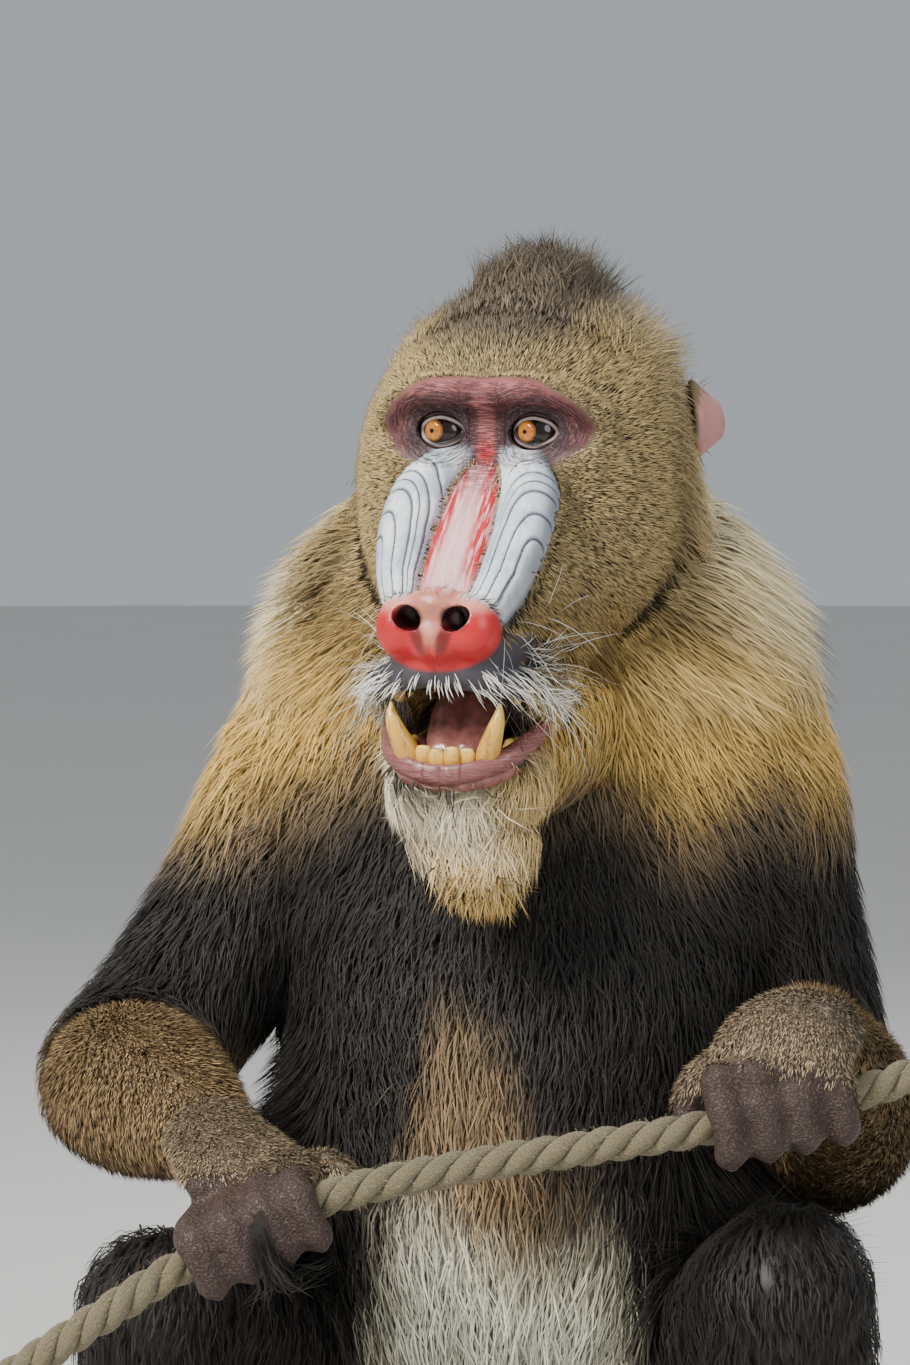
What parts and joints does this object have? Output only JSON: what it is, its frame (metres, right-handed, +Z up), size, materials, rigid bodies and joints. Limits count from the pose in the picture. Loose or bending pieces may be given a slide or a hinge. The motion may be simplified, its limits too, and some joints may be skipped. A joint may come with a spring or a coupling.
{
  "type": "mandrill figure",
  "caption": "Life-size adult male mandrill sitting upright, mouth open, head turned a little to its right, both hands closed over a short cut length of twisted rope.",
  "frame": {"origin": "on the flat under the rump, at floor level, below the middle of the trunk", "axes": "+Z up, the animal faces -Y, +X is the animal's left"},
  "size_m": [0.5377, 0.5108, 0.7357],
  "materials": {
    "head_fur": "short ticked olive-brown fur with the bare blue, white and red skin of the face",
    "lip_skin": "dark purple-pink bare skin",
    "beard_hair": "long white hair turning golden at the tips",
    "mouth_skin": "wet pink skin",
    "tooth": "yellowed enamel",
    "eye": "amber, polished",
    "ear_skin": "bare pink skin",
    "mantle_hair": "long cream hair turning golden",
    "dark_fur": "dark grey-brown fur",
    "belly_hair": "long grey-white hair",
    "limb_fur": "short ticked olive-ochre fur",
    "hand_skin": "dark skin with short ticked fur on the back",
    "foot_skin": "dark bare skin with short fur above",
    "rope": "dry olive-tan twisted fibre"
  },
  "bodies": {
    "root": {"head": "head_fur", "jaw": "lip_skin", "beard": "beard_hair", "tongue": "mouth_skin", "canine_left": "tooth", "canine_right": "tooth", "eye_left": "eye", "eye_right": "eye", "ear_left": "ear_skin", "ear_right": "ear_skin", "neck": "mantle_hair", "chest": "dark_fur", "abdomen": "belly_hair", "tail": "dark_fur", "upper_arm_left": "dark_fur", "upper_arm_right": "dark_fur", "forearm_left": "limb_fur", "forearm_right": "limb_fur", "hand_left": "hand_skin", "hand_right": "hand_skin", "thigh_left": "dark_fur", "thigh_right": "dark_fur", "shin_left": "dark_fur", "shin_right": "dark_fur", "foot_left": "foot_skin", "foot_right": "foot_skin", "rope": "rope"}
  },
  "joints": []
}
